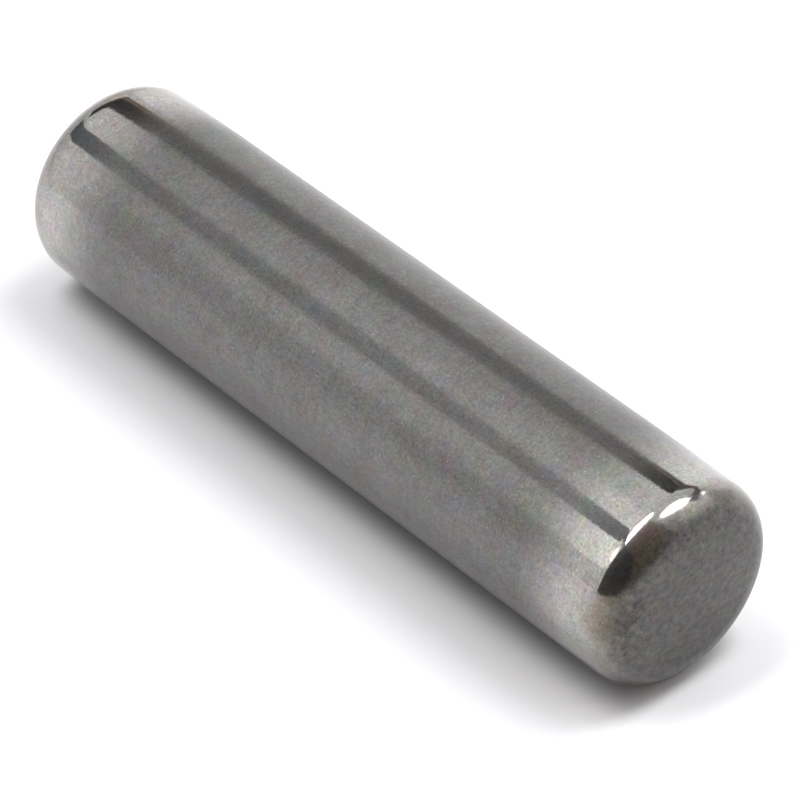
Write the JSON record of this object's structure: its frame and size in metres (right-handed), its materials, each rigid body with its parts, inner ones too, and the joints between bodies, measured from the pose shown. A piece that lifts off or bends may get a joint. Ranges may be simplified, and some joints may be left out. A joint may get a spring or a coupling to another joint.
{
  "type": "cam roller pin",
  "caption": "Solid ground steel pin with rounded edges and flat end faces, the axle that a cam roller turns on.",
  "frame": {"origin": "middle of the lower end face, on the surface that the pin stands on", "axes": "+Z along the pin's axis, from the lower end face to the upper one; X and Y are free, because the pin is round"},
  "size_m": [0.01, 0.01, 0.04],
  "materials": {
    "ground_steel": "finely ground hardened steel, satin"
  },
  "bodies": {
    "root": {"roller_pin": "ground_steel"}
  },
  "joints": []
}
